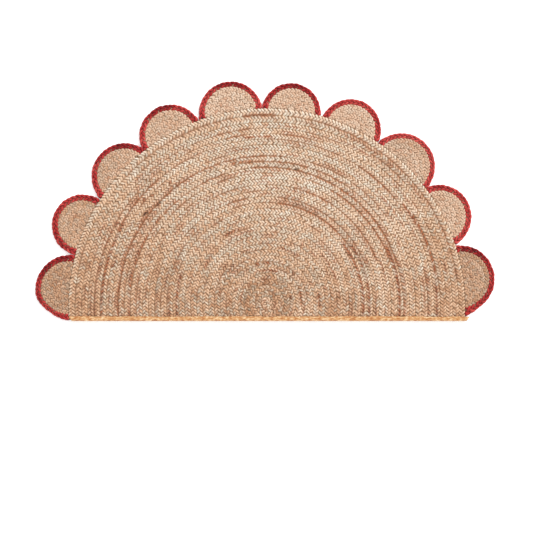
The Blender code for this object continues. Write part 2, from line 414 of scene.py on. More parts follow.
@dataclass(frozen=True)
class YarnFinish:
    """Matt braided yarn: ramps of its warm, cool and brown colours, its streaks and its painted crease shade.

    Brown shading is painted crease shade too: how far down its own ramp a brown part goes in a crease.
    """

    name: str
    warm: Stops
    cool: Stops
    brown: Stops
    # The crease colour and depth set the painted shade in the creases.
    crease_shade_colour: Colour
    crease_shade_depth: float = 0.8
    brown_shading: float = 0.42
    streak_weight: float = 0.3
    ply_weight: float = 0.12
    patch_weight: float = 0.12
    rough_low: float = 0.78
    rough_high: float = 0.95
    specular: float = 0.25
    sheen: float = 0.12
    bump_height: float = 0.25 * MM

    def material(self, groups: YarnGroups) -> bpy.types.Material:
        """Builds the finish.

        Args:
            groups: the node groups that yarns share.

        Returns:
            The material.
        """
        material, graph, shader = new_material(self.name)
        fibres = graph.put("ShaderNodeGroup", node_tree=groups.fibres).outputs
        tone_inputs = {
            "Streak": fibres["Streak"],
            "Streak Weight": self.streak_weight,
            "Ply": fibres["Ply"],
            "Ply Weight": self.ply_weight,
            "Patch Weight": self.patch_weight,
        }
        tone = graph.put("ShaderNodeGroup", tone_inputs, node_tree=groups.tone).outputs
        # The crease mask is painted shade: it mixes the colour towards the crease colour and takes a brown part down
        # its ramp.
        crease = graph.put("ShaderNodeGroup", {"Depth": self.crease_shade_depth}, node_tree=groups.crease).outputs["Crease"]
        warm = graph.ramp(tone["Tone"], self.warm)
        cool = graph.ramp(tone["Tone"], self.cool)
        colour = graph.mixed(graph.spread(tone["Warmth"], 0.25, 0.75, 1.0, 0.0), warm, cool)
        colour = graph.mixed(crease, colour, (*self.crease_shade_colour, 1.0))
        shaded = graph.math("SUBTRACT", tone["Tone"], graph.math("MULTIPLY", crease, self.brown_shading))
        colour = graph.mixed(graph.attribute("brown"), colour, graph.ramp(shaded, self.brown))
        height = graph.math("ADD", fibres["Streak"], graph.math("MULTIPLY", fibres["Ply"], 1.5))
        graph.feed(shader, {
            "Base Color": colour,
            "Roughness": graph.spread(fibres["Fuzz"], 0.0, 1.0, self.rough_low, self.rough_high),
            "Normal": graph.bump(height, self.bump_height, 0.8),
            "Specular IOR Level": self.specular,
            "Sheen Weight": self.sheen,
            "Sheen Roughness": 0.6,
        })
        return material


@dataclass(frozen=True)
class ShadeGroundFinish:
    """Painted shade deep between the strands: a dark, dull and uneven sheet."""

    name: str
    dark: Colour
    light: Colour

    def material(self) -> bpy.types.Material:
        """Builds the finish from two sizes of noise."""
        material, graph, shader = new_material(self.name)
        coarse = graph.noise(graph.place(), 160.0, 2.0)
        fine = graph.noise(graph.place(), 900.0, 2.0)
        blend = graph.spread(graph.math("ADD", coarse, graph.math("MULTIPLY", fine, 0.5)), 0.5, 1.0, 0.0, 1.0)
        graph.feed(shader, {
            "Base Color": graph.mixed(blend, (*self.dark, 1.0), (*self.light, 1.0)),
            "Roughness": graph.spread(fine, 0.0, 1.0, 0.85, 1.0),
            "Normal": graph.bump(fine, 0.3 * MM, 1.0),
            "Specular IOR Level": 0.2,
        })
        return material


@dataclass(frozen=True)
class TapeFinish:
    """Woven golden tape: fine ribs both ways on the cloth's own width and length, with orange mottling."""

    name: str
    ramp: Stops
    warp_pitch: float = 1.1 * MM
    weft_pitch: float = 0.9 * MM
    mottle_scale: float = 330.0

    def material(self) -> bpy.types.Material:
        """Builds the finish."""
        material, graph, shader = new_material(self.name)
        place = graph.attribute("cloth_place", "Vector")
        split = graph.put("ShaderNodeSeparateXYZ", {0: place}).outputs
        warp = graph.math("SINE", graph.math("MULTIPLY", split[1], math.tau / self.warp_pitch))
        weft = graph.math("SINE", graph.math("MULTIPLY", split[0], math.tau / self.weft_pitch))
        weave = graph.spread(graph.math("MULTIPLY", warp, weft), -1.0, 1.0, 0.0, 1.0)
        mottle = graph.noise(graph.stretched(place, (0.45, 1.0, 1.0)), self.mottle_scale, 2.5)
        patch = graph.noise(place, 45.0, 1.0)
        tone = graph.math("ADD", graph.math("MULTIPLY", mottle, 0.75), graph.math("MULTIPLY", patch, 0.25))
        tone = graph.math("ADD", tone, graph.math("MULTIPLY", weave, 0.06))
        graph.feed(shader, {
            "Base Color": graph.ramp(graph.spread(tone, 0.43, 0.65, 0.0, 1.0), self.ramp),
            "Roughness": graph.spread(mottle, 0.3, 0.7, 0.7, 0.9),
            "Normal": graph.bump(weave, 0.15 * MM, 0.8),
            "Specular IOR Level": 0.3,
            "Sheen Weight": 0.15,
        })
        return material


class Plan(Protocol):
    """Turns ring coordinates into places on the mat."""

    def place(self, radius: np.ndarray, angle: np.ndarray) -> tuple[np.ndarray, np.ndarray]:
        """X and Y of ring coordinates."""

    def shows(self, radius: np.ndarray, angle: np.ndarray) -> np.ndarray:
        """Whether a coil's centre line lies on the piece."""

    def level(self, x: np.ndarray, y: np.ndarray, up: np.ndarray) -> np.ndarray:
        """Z of a height above or below the braid's middle."""


@dataclass(frozen=True)
class Run:
    """An unbroken stretch of a coil's centre line."""

    length: np.ndarray
    angle: np.ndarray
    radius: np.ndarray
    from_start: bool

    def sampled(self, spacing: float) -> "Run":
        """The same stretch at even spacing along its length."""
        count = max(int((self.length[-1] - self.length[0]) / spacing), 3) + 1
        even = np.linspace(self.length[0], self.length[-1], count)
        angle = np.interp(even, self.length, self.angle)
        return Run(even, angle, np.interp(even, self.length, self.radius), self.from_start)


@dataclass(frozen=True)
class Coil:
    """The centre line of one braid wound in rows round a point.

    For half a turn from level_from a row keeps its radius, and in the other half it rises to the
    next row along half a cosine wave.
    """

    row_width: float
    rows: int
    level_from: float
    start_turns: float = -0.27
    past_level: float = 0.06
    samples_a_turn: int = 720

    def radius(self, turns: np.ndarray) -> np.ndarray:
        """Radius after a number of turns: row width (row + 1/2 + (1 - cos(pi rise)) / 2)."""
        row = np.floor(turns)
        rise = np.clip(2.0 * (turns - row) - 1.0, 0.0, 1.0)
        return self.row_width * (row + 0.5 + (1.0 - np.cos(np.pi * rise)) / 2.0)

    def runs(self, plan: Plan) -> list[Run]:
        """The stretches that lie on the piece, from the coil's start outwards."""
        end_turns = self.rows - 0.5 + self.past_level
        turns = np.linspace(self.start_turns, end_turns, int(self.samples_a_turn * (end_turns - self.start_turns)))
        angle = self.level_from + math.tau * turns
        radius = self.radius(turns)
        steps = np.hypot(np.diff(radius), (radius[1:] + radius[:-1]) / 2.0 * np.diff(angle))
        length = np.concatenate(([0.0], np.cumsum(steps)))
        shown = plan.shows(radius, angle)
        breaks = np.flatnonzero(np.diff(shown.astype(int))) + 1
        pieces = [part for part in np.split(np.arange(len(turns)), breaks) if shown[part[0]] and len(part) > 2]
        return [Run(length[part], angle[part], radius[part], part[0] == 0) for part in pieces]


@dataclass(frozen=True)
class Dye:
    """How a braid's colour varies: the strands' tone (0 dark, 1 pale) and warmth (0 cool, 1 warm)."""

    tone: float = 0.5
    lobe_tone: float = 0.05
    slow_tone: float = 0.03
    row_tone: float = 0.03
    warmth: float = 0.6
    lobe_warmth: float = 0.26
    slow_warmth: float = 0.08
    row_warmth: float = 0.08
    slow_length: float = 90 * MM


@dataclass(frozen=True)
class Braid:
    """One row of flat braid made of three strands.

    At length s the phase of strand k is t = 2 pi (s / period + k / 3). Its centre lies
    (sin t + q sin 3t) / (1 - q) across the row and (sin 2t + e sin 6t) / (1 - e) up and down, each
    times its reach, q being the turn's squareness and e the crest's. Its section is an ellipse
    square to that path, narrower at the turns, with more sides above than below. Near and far swell
    widen the row at its two ends, each a share of its width and the length over which it fades. The
    crease mask is painted shade: full on a strand's flanks and where it crosses the row's middle, and
    edge light takes that painted shade off the flanks along the row's edges. Each fade is where a
    share starts to rise and over how much it does. Each wander is the spacing and the spread of the
    draws that shift the phase, stretch the reach and move the row.
    """

    width: float
    height: float
    period: float
    dye: Dye
    reach_across: float = 0.39
    turn_square: float = -0.1
    turn_thin: float = 0.22
    crest_square: float = 0.1
    strand_half: float = 0.136
    reach_up: float = 0.19
    steps: int = 14
    start_taper: float = 7 * MM
    start_share: float = 0.35
    near_swell: tuple[float, float] = (0.0, MM)
    far_swell: tuple[float, float] = (0.0, MM)
    # Painted shade: how strongly the crease mask darkens where the strands cross the row's middle.
    middle_crease_shade: float = 0.9
    edge_light: float = 0.75
    edge_fade: tuple[float, float] = (0.15, 0.6)
    flank_fade: tuple[float, float] = (0.35, 0.6)
    middle_half: float = 0.42
    middle_fade: float = 0.4
    lobe_fade: tuple[float, float] = (0.35, 0.3)
    swell_inward: float = 0.0
    phase_wander: tuple[float, float] = (26 * MM, 0.7 * MM)
    reach_wander: tuple[float, float] = (20 * MM, 0.06)
    fat_wander: float = 0.07
    row_wander: tuple[float, float] = (55 * MM, 0.12 * MM)
    lay_stretch: float = 1.35
    side_degrees: tuple[float, ...] = (-5.0, 42.0, 90.0, 138.0, 185.0, 240.0, 300.0)

    def path(self, phase: np.ndarray) -> tuple[np.ndarray, np.ndarray, np.ndarray, np.ndarray]:
        """The strand's centre and how fast it moves.

        Args:
            phase: the strand's phase.

        Returns:
            The centre's places across and up, and both their changes for a change of phase.
        """
        turn, crest = self.turn_square, self.crest_square
        reach = self.reach_across * self.width / (1.0 - turn)
        rise = self.reach_up * self.height / (1.0 - crest)
        across = reach * (np.sin(phase) + turn * np.sin(3.0 * phase))
        up = rise * (np.sin(2.0 * phase) + crest * np.sin(6.0 * phase))
        tilt = reach * (np.cos(phase) + 3.0 * turn * np.cos(3.0 * phase))
        climb = rise * (2.0 * np.cos(2.0 * phase) + 6.0 * crest * np.cos(6.0 * phase))
        return across, up, tilt, climb

    def strand(self, run: Run, which: int, plan: Plan, rng: np.random.Generator) -> Surface:
        """One strand along a run.

        Args:
            run: the centre line, evenly sampled.
            which: 0, 1 or 2.
            plan: what turns ring coordinates into places.
            rng: where the unevenness comes from.

        Returns:
            The strand as a closed tube with its masks.
        """
        length = run.length
        pull = math.tau / self.period
        phase = pull * (length + wander(rng, length, *self.phase_wander)) + math.tau * which / 3.0
        across, up, tilt, climb = self.path(phase)
        reach = 1.0 + wander(rng, length, *self.reach_wander)
        fat = 1.0 + wander(rng, length, self.period / 2.0, self.fat_wander)
        across, tilt, climb = across * reach, tilt * pull * reach, climb * pull
        plan_long = np.hypot(1.0, tilt)
        full_long = np.sqrt(1.0 + tilt**2 + climb**2)
        side = np.stack((-tilt, np.ones_like(tilt), np.zeros_like(tilt)), axis=1) / plan_long[:, None]
        lift = np.stack((-climb, -climb * tilt, 1.0 + tilt**2), axis=1) / (full_long * plan_long)[:, None]
        around = np.radians(self.side_degrees)
        taper = np.ones_like(length)
        if run.from_start:
            taper = ease(self.start_share + (length - length[0]) / self.start_taper)
        thin = 1.0 - self.turn_thin * np.sin(phase) ** 4
        swell = self.swell(length - length[0], self.near_swell) + self.swell(length[-1] - length, self.far_swell)
        across = across * (1.0 + swell) - self.swell_inward * self.width * swell
        thin = thin * (1.0 + swell)
        out = (self.strand_half * self.period * fat * taper * thin)[:, None] * np.cos(around)
        top = ((0.5 - self.reach_up) * self.height * np.sqrt(fat) * taper)[:, None] * np.sin(around)
        offset = side[:, None, :] * out[..., None] + lift[:, None, :] * top[..., None]
        ring_radius = run.radius[:, None] + across[:, None] + offset[..., 1]
        ring_angle = run.angle[:, None] + offset[..., 0] / np.maximum(run.radius, self.width / 2.0)[:, None]
        x, y = plan.place(ring_radius, ring_angle)
        z = plan.level(x, y, up[:, None] + offset[..., 2])
        masks = self.lobe_masks(phase, length, out.shape, rng)
        # The crease mask below is painted shade on the strands' flanks and at the row's middle.
        outer = self.edge_light * rising(np.sin(phase)[:, None] * np.cos(around), *self.edge_fade)
        flank = rising(np.abs(np.cos(around)), *self.flank_fade) * (1.0 - outer)
        middle = self.middle_crease_shade * ease((self.middle_half - np.abs(np.sin(phase))) / self.middle_fade)
        masks["crease"] = 1.0 - (1.0 - flank) * (1.0 - middle[:, None])
        masks["ring"] = ring_radius / self.width
        masks["turn"] = np.degrees(ring_angle) % 360.0
        strand_offset = np.array([0.0, rng.uniform(0.0, 0.5), rng.uniform(0.0, 0.5)])
        lay_length = np.broadcast_to(length[:, None], out.shape) * self.lay_stretch
        masks["lay"] = np.stack((lay_length, out, top), axis=-1) + strand_offset
        return tube(np.stack((x, y, z), axis=-1), masks)

    @staticmethod
    def swell(away: np.ndarray, swelling: tuple[float, float]) -> np.ndarray:
        """What an end adds to the width, as a share of it: all at the end, nothing past a length from it."""
        return swelling[0] * ease(1.0 - away / swelling[1])

    def lobe_masks(self, phase: np.ndarray, length: np.ndarray, shape: tuple[int, int],
                   rng: np.random.Generator) -> dict[str, np.ndarray]:
        """Tone, warmth and chance, the same over each lobe and changing where the strand dives.

        Args:
            phase: the strand's phase at each section.
            length: the length at each section.
            shape: sections and sides.
            rng: where the draws come from.

        Returns:
            The masks, for each point of the strand. Chance is evenly drawn from 0 to 1, and is
            what picks the lobes of another yarn.
        """
        place = (phase + math.pi / 4.0) / math.pi - 0.5
        place = place - math.floor(place.min())
        low = place.astype(int)
        share = rising(place - low, *self.lobe_fade)
        masks = {}
        for name, middle, lobe, slow in (
            ("tone", self.dye.tone, self.dye.lobe_tone, self.dye.slow_tone),
            ("warmth", self.dye.warmth, self.dye.lobe_warmth, self.dye.slow_warmth),
        ):
            draws = rng.normal(0.0, lobe, low.max() + 2)
            values = middle + between(draws, low, share) + wander(rng, length, self.dye.slow_length, slow)
            masks[name] = np.broadcast_to(values[:, None], shape)
        chance = between(rng.random(low.max() + 2), low, share)
        masks["chance"] = np.broadcast_to(chance[:, None], shape)
        return masks

    def surface(self, runs: list[Run], plan: Plan, rng: np.random.Generator) -> Surface:
        """All three strands along each run, in one surface, with a tone of its own for each row."""
        parts = []
        for run in runs:
            even = run.sampled(self.period / self.steps)
            uneven = even.radius + wander(rng, even.length, *self.row_wander)
            even = Run(even.length, even.angle, uneven, even.from_start)
            row_tone = wander(rng, even.length, 2.0 * self.dye.slow_length, self.dye.row_tone)
            row_warmth = wander(rng, even.length, 2.0 * self.dye.slow_length, self.dye.row_warmth)
            for which in range(3):
                strand = self.strand(even, which, plan, rng)
                strand.masks["tone"] = strand.masks["tone"] + np.repeat(row_tone, len(self.side_degrees))
                strand.masks["warmth"] = strand.masks["warmth"] + np.repeat(row_warmth, len(self.side_degrees))
                parts.append(strand)
        return Surface.joined(parts)


def rib(row_place: np.ndarray, low: float, high: float) -> np.ndarray:
    """Depth of the ground under a row: low between rows, high in the middle, straight in between."""
    across = row_place % 1.0
    return low + (high - low) * (1.0 - np.abs(2.0 * across - 1.0))


def dress(piece: bpy.types.Object, node: str) -> bpy.types.Object:
    """Rides a piece on the mat and lets it stand for its CAD node."""
    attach(piece, BODY)
    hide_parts(node)
    LOG.info("%s stands for %s, %d faces", piece.name, node, len(piece.data.polygons))
    return piece


@dataclass(frozen=True)
class Tape:
    """The folded tape, sized by its CAD solid."""

    cloth: float = 1.2 * MM
    bend: float = 1.6 * MM
    stations: int = 320
    leg_steps: int = 6
    bend_steps: int = 4
    edge_wave: float = 0.35 * MM
    wave_length: float = 26 * MM
    ripple_length: float = 7 * MM
    bulge: float = 0.12 * MM
    bulge_length: float = 16 * MM
    most_bulge: float = 0.2 * MM
    corner: float = 6.5 * MM
    seed: int = 71

    @property
    def box(self) -> tuple[np.ndarray, np.ndarray]:
        """Lowest and highest corner of its CAD solid."""
        low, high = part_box("edge_tape")
        return np.array(low), np.array(high)

    def section(self) -> tuple[np.ndarray, np.ndarray]:
        """Outer and inner line of the U, as (fold-to-edge place, height), from the lower edge round."""
        low, high = self.box
        depth = high[1] - low[1]
        quarter = np.linspace(0.0, math.pi / 2.0, self.bend_steps)
        leg = np.linspace(depth, self.bend, self.leg_steps)[:-1]
        lines = []
        for radius, inset in ((self.bend, 0.0), (self.bend - self.cloth, self.cloth)):
            lower = np.column_stack((leg, np.full(len(leg), inset)))
            turn = np.column_stack((self.bend - radius * np.sin(quarter), self.bend - radius * np.cos(quarter)))
            half = np.concatenate((lower, turn))
            upper = half[::-1] * (1.0, -1.0) + (0.0, high[2] - low[2])
            lines.append(np.concatenate((half, upper)))
        return lines[0], lines[1]

    def surface(self) -> Surface:
        """The section carried along X, its edges a little wavy and both ends cut back at the fold."""
        low, high = self.box
        rng = np.random.default_rng(self.seed)
        share = np.linspace(0.0, 1.0, self.stations)
        outer, inner = self.section()
        ring = np.concatenate((outer, inner[::-1]))
        depth = high[1] - low[1]
        out = ring[:, 0] / depth
        length = share * (high[0] - low[0])
        wave = wander(rng, length, self.wave_length, self.edge_wave)
        ripple = wander(rng, length, self.ripple_length, self.edge_wave * 0.6)
        y = low[1] + ring[:, 0] + (wave + ripple)[:, None] * out**2 - self.edge_wave
        bulge = wander(rng, length, self.bulge_length, self.bulge)
        above = ring[:, 1] > (high[2] - low[2]) / 2.0
        z = low[2] + ring[:, 1] + np.where(above, np.minimum(bulge[:, None], self.most_bulge), 0.0)
        left = low[0] + self.corner * (1.0 - out) ** 2
        right = high[0] - self.corner * (1.0 - out)
        x = left + (right - left) * share[:, None]
        grid = np.stack((x, np.maximum(y, low[1]), z), axis=-1)
        lines = len(outer)
        girth = np.concatenate(([0.0], np.cumsum(np.hypot(*np.diff(outer, axis=0).T))))
        around = np.broadcast_to(np.concatenate((girth, girth[::-1])), x.shape)
        cloth_place = np.stack((x, around, np.zeros_like(x)), axis=-1)
        made = tube(grid[:, ::-1], {"cloth_place": cloth_place[:, ::-1]})
        made.faces = [made.faces[0], *self.end_faces(len(share), 2 * lines)]
        return made

    @staticmethod
    def end_faces(stations: int, around: int) -> list[np.ndarray]:
        """Strips of four-sided faces that close both ends between the section's outer and inner line."""
        near = np.arange(around // 2 - 1)
        strip = np.stack((near, near + 1, around - 2 - near, around - 1 - near), axis=1)
        return [strip, strip[:, ::-1] + (stations - 1) * around]

    def build(self, finish: TapeFinish) -> bpy.types.Object:
        """Makes the tape."""
        piece = dress(self.surface().make("tape_cloth", finish.material()), "edge_tape")
        return piece


@dataclass(frozen=True)
class BrownStretch:
    """A stretch of brown along the panel's rows: rows out from the start, degrees, and how strong.

    It fades over the end degrees at both ends.
    """

    row: float
    from_degrees: float
    to_degrees: float
    strength: float
    darkness: float = 0.0
    end_degrees: float = 1.4

    def share(self, rings: np.ndarray, turns: np.ndarray, reach: float) -> np.ndarray:
        """How much of it there is at each place.

        Args:
            rings: rows out from the start.
            turns: degrees round it.
            reach: how many rows off its own it fades.

        Returns:
            e^-(off / reach)^4 across the row, fading along it at both ends.
        """
        middle = (self.from_degrees + self.to_degrees) / 2.0
        half = abs(self.to_degrees - self.from_degrees) / 2.0
        along = 1.0 - ease((np.abs(turns - middle) - half + self.end_degrees / 2.0) / self.end_degrees)
        return along * np.exp(-(((rings - self.row) / reach) ** 4))


@dataclass(frozen=True)
class Shade:
    """A broad patch of the panel that is darker or paler, cooler or warmer than the rest.

    It lies between two rows and two directions in degrees, and half of each fade lies outside them.
    """

    first_row: float
    last_row: float
    from_degrees: float
    to_degrees: float
    paler: float
    warmer: float
    fade_rows: float = 2.0
    fade_degrees: float = 12.0

    def share(self, rings: np.ndarray, turns: np.ndarray) -> np.ndarray:
        """How much of it there is at each place, from 0 to 1."""
        result = np.ones_like(rings)
        for place, first, last, fade in (
            (rings, self.first_row, self.last_row, self.fade_rows),
            (turns, self.from_degrees, self.to_degrees, self.fade_degrees),
        ):
            inside = ease((place - first + fade / 2.0) / fade) * ease((last + fade / 2.0 - place) / fade)
            result = result * inside
        return result


# Rows out from the start, and what they add to the tone and the warmth
ROW_COLOURS = (
    (0.0, 0.18, 0.2), (0.8, 0.14, 0.2), (1.2, -0.12, 0.05), (3.5, -0.10, 0.05), (4.5, -0.01, 0.07),
    (10.0, 0.04, 0.03), (20.0, 0.09, 0.0), (28.0, 0.12, 0.05), (31.0, 0.09, 0.04), (31.95, 0.10, 0.04),
    # From 32.7 rows out the paler tone is painted light that lifts the shade along the panel's outer edge.
    (32.7, 0.18, -0.08), (33.1, 0.30, -0.08),
)
SHADES = (
    Shade(28.5, 34.0, 138.0, 200.0, -0.05, 0.13),
    Shade(24.5, 34.0, -20.0, 28.0, -0.055, 0.04),
    Shade(16.5, 21.0, 148.0, 175.0, -0.08, 0.05),
    Shade(20.0, 25.0, 42.0, 105.0, 0.05, -0.05),
    Shade(9.0, 13.0, -20.0, 6.0, -0.09, 0.03),
    Shade(5.0, 9.0, 165.0, 200.0, -0.05, 0.0),
    Shade(-1.0, 5.0, 30.0, 110.0, 0.0, -0.12),
)


# Brown stretches: row, from degrees, to degrees, strength, darkness
BROWN_STRETCHES = tuple(BrownStretch(*measures) for measures in (
    (32.0, 137.0, 122.0, 0.3), (32.0, 121.0, 100.0, 0.4), (32.0, 97.0, 87.0, 0.8, 0.1), (32.0, 78.0, 58.0, 0.5),
    (32.0, 56.0, 8.0, 0.5), (31.0, 56.0, 42.0, 0.45), (30.0, 136.0, 126.0, 0.45), (30.0, 108.0, 95.0, 0.5),
    (29.0, 157.0, 130.0, 0.4), (29.0, 104.0, 97.0, 0.6), (29.0, 85.0, 73.0, 0.55), (28.8, 33.0, 8.0, 0.7),
    (28.5, 8.0, -14.0, 0.6), (27.1, 14.0, -14.0, 0.5), (28.9, 195.0, 151.0, 0.5), (28.5, 98.0, 88.0, 0.6),
    (28.5, 37.0, 28.0, 0.7), (28.0, 153.0, 130.0, 0.8), (28.0, 128.0, 112.0, 0.4), (28.0, 90.0, 64.0, 0.4),
    (28.0, 57.0, 40.0, 0.75), (27.75, 195.0, 150.0, 0.65), (26.5, 44.0, 36.0, 0.5), (26.5, 105.0, 92.0, 0.5),
    (25.0, 195.0, 122.0, 1.0, 0.05), (24.1, 195.0, 138.0, 0.35), (22.05, 195.0, 163.0, 0.4),
    (18.7, 195.0, 171.0, 0.35), (16.8, 195.0, 168.0, 0.35), (25.0, 122.0, 82.0, 0.7), (25.0, 77.0, 60.0, 0.5),
    (25.0, 55.0, 36.0, 0.4), (24.3, 104.0, 96.0, 0.6), (24.0, 99.0, 58.0, 0.7), (24.0, 57.0, 36.0, 0.35),
    (23.15, 195.0, 140.0, 0.6), (23.0, 138.0, 130.0, 0.8), (23.0, 118.0, 108.0, 0.7), (23.0, 97.0, 60.0, 0.8),
    (23.0, 58.0, 18.0, 0.9), (23.2, 18.0, -14.0, 0.5), (22.4, 26.0, -14.0, 0.85), (22.0, 136.0, 127.0, 0.5),
    (22.0, 112.0, 104.0, 0.6), (22.0, 61.0, 20.0, 0.7), (20.0, 117.0, 103.0, 0.45), (20.0, 77.0, 56.0, 0.65),
    (20.0, 44.0, 22.0, 0.6), (18.0, 112.0, 100.0, 0.6), (18.0, 84.0, 22.0, 0.5), (17.4, 37.0, -14.0, 0.7),
    (17.0, 160.0, 143.0, 0.5), (17.0, 84.0, 34.0, 0.8), (16.4, 40.0, -14.0, 0.8), (16.0, 124.0, 117.0, 0.6),
    (15.3, 195.0, 158.0, 0.6), (14.0, 49.0, 30.0, 0.4), (13.3, 121.0, 110.0, 0.5), (12.5, 33.0, 20.0, 0.5),
    (12.2, 150.0, 139.0, 0.5), (10.1, 97.0, 84.0, 0.5), (9.6, 78.0, 56.0, 0.5), (9.0, 12.0, -3.0, 0.8, 0.1),
    (8.2, 173.0, 160.0, 0.5), (6.8, 107.0, 80.0, 0.6), (6.0, 48.0, 43.0, 0.7), (6.0, 22.0, -2.0, 0.8, 0.1),
    (5.5, 97.0, 68.0, 0.6), (4.2, 17.0, 8.0, 1.0, 0.15), (4.0, 104.0, 84.0, 0.5),
    (24.9, 137.5, 135.5, 0.8, 0.45), (25.6, 143.5, 142.0, 0.6, 0.45), (29.3, 134.5, 133.0, 0.5, 0.4),
    (23.2, 78.5, 77.0, 0.5, 0.45),
))


@dataclass(frozen=True)
class Panel:
    """The half-round panel: one braid coiled from its start and cut straight below it."""

    rows: int = 33
    coil_rise: float = 8.4 * MM
    middle: float = 3.87 * MM
    braid_height: float = 7.7 * MM
    period: float = 20.0 * MM
    bands: tuple[int, ...] = (0, 16, 23, 28, 33)
    cut_inset: float = 1.5 * MM
    squeeze: float = 1.5 * MM
    press_over: float = 4 * MM
    pressed: float = 0.55
    ground_low: float = 1.9 * MM
    ground_high: float = 1.7 * MM
    ground_steps: int = 72
    side_draw: float = 0.32
    top_draw: float = 0.4
    top_degrees: float = 105.0
    top_rise_rows: float = 2.2
    top_fall_from: float = 1.5
    top_fall_rows: float = 9.0
    seed: int = 11
    dye: Dye = Dye()
    least_patchy: float = 0.3
    patchy_middle: float = 0.65
    patchy_gain: float = 1.6
    brown_reach: float = 0.21
    brown_ends: float = 0.6
    brown_gain: float = 1.75
    darkness_gain: float = 1.3
    fleck_share: float = 0.012
    fleck_strength: float = 0.8
    flecked: tuple[tuple[float, float, float, float, float], ...] = (
        (25.3, 29.0, 122.0, 180.0, 0.06),
        (4.0, 12.0, 0.0, 60.0, 0.04),
        (3.0, 9.0, 130.0, 180.0, 0.04),
    )
    line_length: float = 26 * MM
    line_warmth: float = 0.18
    line_tone: float = 0.03
    line_brown: float = 0.85
    line_half: float = 0.145
    line_fade: tuple[float, float] = (0.35, 0.75)
    last_line: float = 32.3
    far_rows: tuple[float, float] = (7.0, 14.0)
    far_level: float = 0.55
    far_tone: float = 0.17
    right_tone: float = 0.035
    far_cool: float = 0.2
    row_colours: tuple[tuple[float, float, float], ...] = ROW_COLOURS
    shades: tuple[Shade, ...] = SHADES
    browns: tuple[BrownStretch, ...] = BROWN_STRETCHES

    @property
    def radius(self) -> float:
        """Outline's radius, which is the CAD solid's reach along +X."""
        return float(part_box("centre_panel")[1].x)

    @property
    def row_width(self) -> float:
        """Width of one row of braid."""
        return self.radius / self.rows

    @property
    def tape_box(self) -> tuple[float, float]:
        """Y of the tape's fold and of its edge."""
        low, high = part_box("edge_tape")
        return float(low.y), float(high.y)

    @property
    def cut(self) -> float:
        """Y of the straight cut inside the tape."""
        return self.tape_box[0] + self.cut_inset

    def drawn(self, radius: np.ndarray, angle: np.ndarray) -> np.ndarray:
        """Rings that hand work has drawn in: the middle ones at both sides, the outer ones at the top.

        With the share f = r / R, a ring gives up side draw 4 f (1 - f) cos(a) squared of a row's
        width, and top draw times a bump over the outer rows and round the top.
        """
        share = np.clip(radius / self.radius, 0.0, 1.0)
        sides = self.side_draw * 4.0 * share * (1.0 - share) * np.cos(angle) ** 2
        rows_in = (1.0 - share) * self.rows
        outer = np.minimum(ease(rows_in / self.top_rise_rows), 1.0 - rising(rows_in, self.top_fall_from,
                                                                          self.top_fall_rows))
        top = np.cos((angle - math.radians(self.top_degrees)) / 2.0) ** 6
        return radius - self.row_width * (sides + self.top_draw * outer * top)

    def place(self, radius: np.ndarray, angle: np.ndarray) -> tuple[np.ndarray, np.ndarray]:
        """Rings drift down with their radius r: x = r cos a, y = r sin a - coil rise (r / R)."""
        radius = self.drawn(radius, angle)
        x = radius * np.cos(angle)
        y = radius * np.sin(angle) - self.coil_rise * radius / self.radius
        return x, soft_floor(y, self.cut, self.squeeze)

    def shows(self, radius: np.ndarray, angle: np.ndarray) -> np.ndarray:
        """Whether the centre line lies above the straight cut."""
        return radius * np.sin(angle) - self.coil_rise * radius / self.radius > self.cut

    def level(self, x: np.ndarray, y: np.ndarray, up: np.ndarray) -> np.ndarray:
        """Heights are pressed towards the middle under the tape and free a little above its edge."""
        free = ease((y - self.tape_box[1] + MM) / self.press_over)
        return soft_floor(self.middle + up * (self.pressed + (1.0 - self.pressed) * free), 0.0, 0.4 * MM)

    def ground(self) -> Surface:
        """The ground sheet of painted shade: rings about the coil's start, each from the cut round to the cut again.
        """
        tangent = -self.cut / (self.radius + self.coil_rise)
        shares = np.sort(np.append(np.arange(2 * self.rows + 1) / (2.0 * self.rows), tangent))[:, None]
        turn = np.linspace(-1.0, 1.0, self.ground_steps + 1)[None, :]
        sine = (self.cut / np.maximum(shares, WELD) + self.coil_rise) / self.radius
        half = np.where(shares <= tangent, math.pi, math.pi / 2.0 - np.arcsin(np.clip(sine, -1.0, 1.0)))
        angle = math.pi / 2.0 + turn * half
        radius = shares * self.radius * np.ones_like(angle)
        x, y = self.place(radius, angle)
        depth = rib(radius / self.row_width, self.ground_low, self.ground_high)
        depth = self.level(x, y, depth) - self.middle
        return slab(np.stack((x, y), axis=-1), depth, self.middle)

    def colour(self, surface: Surface) -> Surface:
        """What the rows' colours do across the panel.

        Args:
            surface: a band of rows with the ring and turn of each point.

        Returns:
            The same band with the tone and warmth of its rows and shades, its lines of colour and its
            brown flecks and stretches.
        """
        rings, turns = surface.masks.pop("ring"), surface.masks.pop("turn")
        turns = np.where(turns > 270.0, turns - 360.0, turns)
        warm = ease(self.patchy_middle + self.patchy_gain * (surface.masks["warmth"] - self.dye.warmth))
        patchy = self.least_patchy + (1.0 - self.least_patchy) * warm
        tone, warmth = self.broad(surface.masks["tone"], surface.masks["warmth"], rings, turns)
        warmer, paler, browner = self.lines(rings, turns)
        tone = tone + self.line_tone * paler
        off = (2.0 * rings - np.rint(2.0 * rings)) / (2.0 * self.line_half)
        line = self.line_brown * patchy * np.exp(-(off**4)) * (rings < self.last_line)
        brown = self.flecks(rings, turns, surface.masks.pop("chance"))
        brown = np.maximum(brown, line * rising(browner, *self.line_fade))
        for stretch in self.browns:
            near = np.flatnonzero(np.abs(rings - stretch.row) < self.brown_ends)
            here = stretch.share(rings[near], turns[near], self.brown_reach)
            brown[near] = np.maximum(brown[near], self.brown_gain * stretch.strength * here * patchy[near])
            tone[near] = tone[near] - self.darkness_gain * stretch.darkness * here
        surface.masks.update(tone=tone, brown=np.clip(brown, 0.0, 1.0), warmth=warmth + self.line_warmth * warmer)
        return surface

